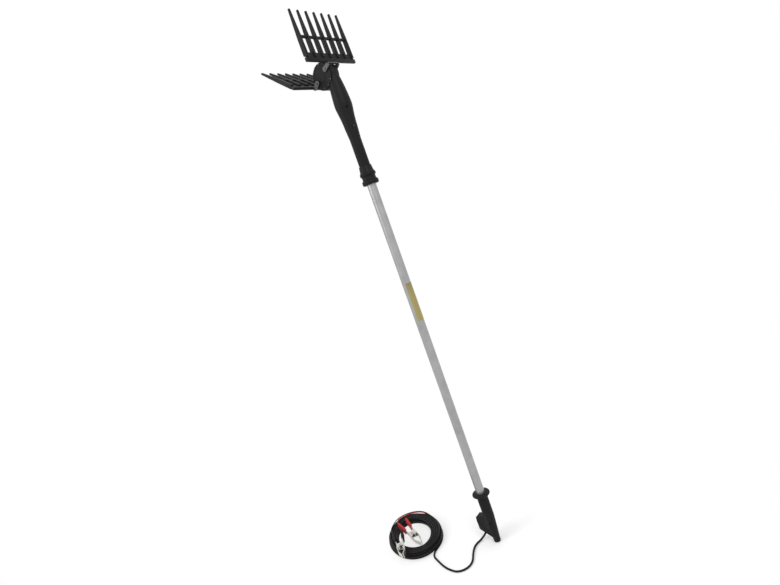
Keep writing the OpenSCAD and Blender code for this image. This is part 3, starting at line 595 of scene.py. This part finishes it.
# %% World
WORLD_LIGHT = 0.85
world = bpy.data.worlds.new("white_surround")
world.use_nodes = True
scene.world = world
sky = world.node_tree
seen, glossy, clear = [shader_node(sky, "ShaderNodeLightPath", {}, {}, f"Is {kind} Ray")
                       for kind in ("Camera", "Glossy", "Transmission")]
for other in (glossy, clear):
    seen = seen.math("MAXIMUM", seen, other)
strength = seen * (1 - WORLD_LIGHT) + WORLD_LIGHT
sky.links.new(strength.socket, sky.nodes["Background"].inputs["Strength"])
sky.nodes["Background"].inputs["Color"].default_value = (1, 1, 1, 1)
print("world:", world.name)

# %% [markdown]
# ## Groups of geometry nodes
# Teeth, ribs and screw recesses repeat on the tool. They could be copied by an Array modifier or by a
# loop over meshes. A group of geometry nodes keeps their count and sizes as named inputs instead. One
# class builds a group and turns its result into a plain mesh, because an export drops instances.

# %% Group builder
class Group:
    """A geometry node group with named inputs. One method makes any node in it."""

    def __init__(self, name, **inputs):
        self.tree = bpy.data.node_groups.new(name, "GeometryNodeTree")
        self.tree.interface.new_socket("Geometry", in_out="OUTPUT", socket_type="NodeSocketGeometry")
        for label, kind in inputs.items():
            self.tree.interface.new_socket(label, in_out="INPUT", socket_type="NodeSocket" + kind)
        self.given = add_node(self.tree, "NodeGroupInput", {}, {}).outputs

    def node(self, kind, settings, inputs, output=0):
        return add_node(self.tree, kind, settings, inputs).outputs[output]

    def ends_in(self, socket):
        add_node(self.tree, "NodeGroupOutput", {}, {0: socket})

    def make(self, name, mesh, **values):
        """The plain mesh that the group makes of mesh with these values."""
        holder = bpy.data.objects.new(name, mesh)
        scene.collection.objects.link(holder)
        modifier = holder.modifiers.new(name, "NODES")
        modifier.node_group = self.tree
        for item in self.tree.interface.items_tree:
            if item.in_out == "INPUT" and item.name in values:
                modifier[item.identifier] = values[item.name]
        return plain(holder, name)


def plain(holder, name):
    """The mesh of holder with its modifiers applied. The holder itself is removed."""
    bpy.context.view_layer.update()
    made = bpy.data.meshes.new_from_object(holder.evaluated_get(bpy.context.evaluated_depsgraph_get()))
    made.name = name
    bpy.data.objects.remove(holder)
    return made


print("methods of a group:", [name for name in vars(Group) if name[0] != "_"])

# %% [markdown]
# ## Rows of ridges
# Saw teeth in the jaws, ribs on the boots, ridges on the trigger, rings on the gland and the boss of
# the gear cover are pressed or moulded on. Each could be modelled for its own piece. All of them are
# one small prism or disc set out in a row, so one group makes them, with count, start, step and size
# as its inputs.

# %% Ridges group
ridges = Group("ridges", Count="Int", Start="Vector", Step="Vector", Size="Vector", Turn="Vector",
               Sides="Int", Finish="Material")
spots = ridges.node("GeometryNodeMeshLine", {"mode": "OFFSET"}, {
    "Count": ridges.given["Count"], "Start Location": ridges.given["Start"], "Offset": ridges.given["Step"]})
prism = ridges.node("GeometryNodeMeshCylinder", {}, {
    "Vertices": ridges.given["Sides"], "Radius": 0.5, "Depth": 1.0})
placed = ridges.node("GeometryNodeInstanceOnPoints", {}, {
    "Points": spots, "Instance": prism, "Rotation": ridges.given["Turn"], "Scale": ridges.given["Size"]})
solid = ridges.node("GeometryNodeRealizeInstances", {}, {"Geometry": placed})
ridges.ends_in(ridges.node("GeometryNodeSetMaterial", {}, {
    "Geometry": solid, "Material": ridges.given["Finish"]}))
print("group:", ridges.tree.name)

# %% [markdown]
# ## Crosses in the screw heads
# The screws of the casings have cross recesses. A bump could draw them, but it has no depth from the
# side. So two crossed bars are joined into one cutter, which is set on a point in the middle of every
# screw head and taken out of the screws.

# %% Cross recess group
recess = Group("cross_recess", Screws="Geometry", Heads="Object", Length="Float", Width="Float",
               Depth="Float", Turn="Vector", Finish="Material")
heads = recess.node("GeometryNodeObjectInfo", {}, {"Object": recess.given["Heads"]}, "Geometry")
bar_sizes = [recess.node("ShaderNodeCombineXYZ", {}, {
    "X": recess.given[x], "Y": recess.given[y], "Z": recess.given["Depth"]})
    for x, y in (("Length", "Width"), ("Width", "Length"))]
bars = [recess.node("GeometryNodeMeshCube", {}, {"Size": size}) for size in bar_sizes]
cross = recess.node("GeometryNodeMeshBoolean", {"operation": "UNION", "solver": "EXACT"}, {"Mesh 2": bars})
cutters = recess.node("GeometryNodeRealizeInstances", {}, {
    "Geometry": recess.node("GeometryNodeInstanceOnPoints", {}, {
        "Points": heads, "Instance": cross, "Rotation": recess.given["Turn"]})})
cut = recess.node("GeometryNodeMeshBoolean", {"operation": "DIFFERENCE", "solver": "EXACT"}, {
    "Mesh 1": recess.given["Screws"], "Mesh 2": cutters})
recess.ends_in(recess.node("GeometryNodeSetMaterial", {}, {
    "Geometry": cut, "Material": recess.given["Finish"]}))
print("group:", recess.tree.name)

# %% [markdown]
# ## Rounded edges on rigid pieces
# No moulded, rolled or pressed piece has a knife edge. A Bevel node in the finish could shade the
# edges round, but it leaves the mesh sharp. So a copy of a visible CAD piece has its doubled points
# merged and its flat triangles joined, and then a narrow bevel rounds what is sharp.

# %% Bevel helper
MERGE_DISTANCE = 2e-6
FLAT_ANGLE = math.radians(1.0)


def merged(node):
    shape = bmesh.new()
    shape.from_mesh(frame["nodes"][node].data)
    bmesh.ops.remove_doubles(shape, verts=shape.verts, dist=MERGE_DISTANCE)
    return shape


def bevelled(node, radius, sharp):
    shape = merged(node)
    bmesh.ops.dissolve_limit(shape, angle_limit=FLAT_ANGLE, verts=shape.verts, edges=shape.edges)
    mesh = bpy.data.meshes.new(node)
    shape.to_mesh(mesh)
    shape.free()
    holder = bpy.data.objects.new(node, mesh)
    scene.collection.objects.link(holder)
    if radius > 0:
        bevel = holder.modifiers.new("edges", "BEVEL")
        bevel.width = radius
        bevel.segments = 2
        bevel.limit_method = "ANGLE"
        bevel.angle_limit = math.radians(sharp)
    return plain(holder, node + "_finished")


print("faces within", round(math.degrees(FLAT_ANGLE), 1), "degree are joined")

# %% [markdown]
# ## One refined copy
# A refined piece moves and looks as the node that it stands for, so the copy takes that node's body,
# slot and finish. The middles of the screw heads could be written down by hand, but then they would
# not follow the solids. So they are found: every loose part of a screw node is one screw, and its
# furthest face along X is its head.

# %% Refine helper
ALONG_X = (0, math.pi / 2, 0)
FACE_DEPTH = 1e-5
CROSS_LENGTH = 3.4 * MM
CROSS_WIDTH = 0.8 * MM
CROSS_DEPTH = 2.2 * MM
record = frame["record"]
slot_of = {part["node"]: part["material_slot"] for part in record["subparts"]}
body_of = {node: body for body, nodes in record["behaviour"]["bodies"].items() for node in nodes}


def head_spots(node):
    """An object with one point in the middle of every screw head's face."""
    shape = merged(node)
    loose = set(shape.verts)
    middles = []
    for first in shape.verts:
        if first not in loose:
            continue
        loose.remove(first)
        grown = [first]
        for vert in grown:
            near = [edge.other_vert(vert) for edge in vert.link_edges]
            grown += [v for v in near if v in loose]
            loose.difference_update(near)
        face_x = max(v.co.x for v in grown)
        face = [v.co for v in grown if v.co.x > face_x - FACE_DEPTH]
        middles.append(sum(face, Vector()) / len(face))
    shape.free()
    mesh = bpy.data.meshes.new(node + "_heads")
    mesh.from_pydata(middles, [], [])
    return bpy.data.objects.new(node + "_heads", mesh)


def refine(node, radius, sharp=28, crossed=False):
    finish = FINISHES[slot_of[node]]
    mesh = bevelled(node, radius, sharp)
    if crossed:
        spots_object = head_spots(node)
        mesh = recess.make(node + "_finished", mesh, Heads=spots_object, Length=CROSS_LENGTH,
                           Width=CROSS_WIDTH, Depth=CROSS_DEPTH, Turn=ALONG_X, Finish=finish)
        bpy.data.objects.remove(spots_object)
    mesh.materials.clear()
    mesh.materials.append(finish)
    mesh.shade_smooth()
    mesh.set_sharp_from_angle(angle=math.radians(sharp))
    piece = new_piece(node + "_finished", mesh, body_of[node])
    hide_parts(node)
    return piece


print("slots:", len(set(slot_of.values())), "bodies:", len(set(body_of.values())))

# %% [markdown]
# ## The visible pieces
# Mouldings have rounder edges than screws, shafts and pressed metal. One bevel for all would be
# shorter, but it would be too wide for thin metal or too narrow for the casings. So the pieces are
# listed by the width of their bevel in mm. The pole's tube, the label and the springs have none.

# %% Refine the visible pieces
SCREW_EDGE = 0.3
CLAMP_EDGES = {"fixed_jaw": 0.4, "moving_jaw": 0.4, "moving_boot": 1.0, "rivet": 0.3, "spring": 0.0}
REFINED = {
    0.0: ["pole_tube", "pole_label"],
    0.3: ["gear_cover", "shaft_bushes", "rear_shaft", "front_shaft", "rear_yoke_screws", "front_yoke_screws"],
    0.7: ["trigger", "rear_yoke", "front_yoke", "butt_cap", "cable_gland"],
    0.8: ["rear_comb", "front_comb", "neck_collar", "hand_flange"],
    1.2: ["handle_left", "handle_right", "head_shell_left", "head_shell_right"],
}
for radius, nodes in REFINED.items():
    for node in nodes:
        made = refine(node, radius * MM)
        print(node, len(made.data.polygons), "faces")
for node in ("cover_screws", "shell_screws", "handle_screws"):
    made = refine(node, SCREW_EDGE * MM, crossed=True)
    print(node, len(made.data.polygons), "faces")
for colour in CLAMPS:
    for node, radius in CLAMP_EDGES.items():
        refine(f"{colour}_{node}", radius * MM)

# %% [markdown]
# ## Teeth, ribs and rings
# The jaws bite with saw teeth near their tips, and the boots have ribs for the fingers. Solids could
# hold them too, but they are small, so they are set on the surface here. On a clamp they lie in its
# own frame, where Y opens the jaws, so the fixed half is the mirror image. The trigger, the gland and
# the gear cover have theirs in the frame of the tool.

# %% Rows
JAW_HALF = {"fixed": 6 * MM, "moving": 7.6 * MM}
BOOT_HALF = 9 * MM
TOOTH = 2.4 * MM
TOOTH_INSET = 0.8 * MM
RIB = 1.8 * MM
RIB_INSET = 2.5 * MM
TRIGGER_FACE = -54 * MM


def row(name, like, place=Matrix.Identity(4), **values):
    """A row of ridges that rides with the CAD node like and has its finish."""
    mesh = ridges.make(name, bpy.data.meshes.new(name), Finish=FINISHES[slot_of[like]], **values)
    mesh.transform(place)
    piece = new_piece(name, mesh, body_of[like])
    return piece


for colour in CLAMPS:
    for half, side in (("fixed", -1), ("moving", 1)):
        row(f"{colour}_{half}_teeth", f"{colour}_{half}_jaw", clamp_matrix(colour), Count=5, Sides=3,
            Start=Vector((33, side * 7.2, 0)) * MM, Step=Vector((3.1, side * -1.24, 0)) * MM,
            Size=Vector((TOOTH, TOOTH, 2 * JAW_HALF[half] - TOOTH_INSET)),
            Turn=(0, 0, -side * math.pi / 2))
        row(f"{colour}_{half}_ribs", f"{colour}_{half}_boot", clamp_matrix(colour), Count=6, Sides=10,
            Start=Vector((-57, side * 17, 0)) * MM, Step=Vector((5, side * -0.472, 0)) * MM,
            Size=Vector((RIB, RIB, 2 * BOOT_HALF - RIB_INSET)), Turn=(0, 0, 0))
row("trigger_ridges", "trigger", Count=4, Sides=10, Start=Vector((0, TRIGGER_FACE, -76 * MM)),
    Step=(0, 0, 3.2 * MM), Size=Vector((1.4, 1.4, 13)) * MM, Turn=ALONG_X)
gland_turn = gland_axis.to_track_quat("Z", "Y").to_euler()
row("gland_rings", "cable_gland", Count=4, Sides=32, Start=GLAND_PLACE + 5 * MM * gland_axis,
    Step=2.6 * MM * gland_axis, Size=Vector((10.4, 10.4, 1.2)) * MM, Turn=gland_turn)
cover = [v.co for v in frame["nodes"]["gear_cover"].data.vertices]
cover_low = Vector([min(v[k] for v in cover) for k in range(3)])
cover_high = Vector([max(v[k] for v in cover) for k in range(3)])
cover_middle = Vector((cover_high.x, (cover_low.y + cover_high.y) / 2, (cover_low.z + cover_high.z) / 2))
row("cover_boss", "gear_cover", Count=2, Sides=64, Start=cover_middle, Step=(0.3 * MM, 0, 0),
    Size=Vector((30, 30, 0.8)) * MM, Turn=ALONG_X)
print("rows on the clamps, the trigger, the gland and the gear cover")

# %% [markdown]
# ## Where the cords end
# The sleeve and the two fixed boots sit on the ends of the cords. Refined copies could stand for
# them, but they belong to the cords and stay the CAD's own pieces. So their edges are rounded by
# modifiers.

# %% Cord ends
CORD_END_EDGE = 1.0 * MM
for node in ("end_sleeve", "red_fixed_boot", "black_fixed_boot"):
    piece = frame["nodes"][node]
    piece.modifiers.new("joined", "WELD").merge_threshold = MERGE_DISTANCE
    flat = piece.modifiers.new("flat", "DECIMATE")
    flat.decimate_type = "DISSOLVE"
    flat.angle_limit = FLAT_ANGLE
    edges = piece.modifiers.new("edges", "BEVEL")
    edges.width = CORD_END_EDGE
    edges.segments = 3
    edges.limit_method = "ANGLE"
    print(node, "edges rounded by", edges.width / MM, "mm")

# %% [markdown]
# ## What stays as the CAD made it
# The motor, the gears and the switch are closed in, so a bevel on them would hardly be seen. They
# keep their solids, and every node of the model gets the finish of its slot.

# %% Remaining pieces
for node, piece in frame["nodes"].items():
    piece.data.materials.clear()
    piece.data.materials.append(FINISHES[slot_of[node]])
print("finished nodes:", len(frame["nodes"]))

# %% [markdown]
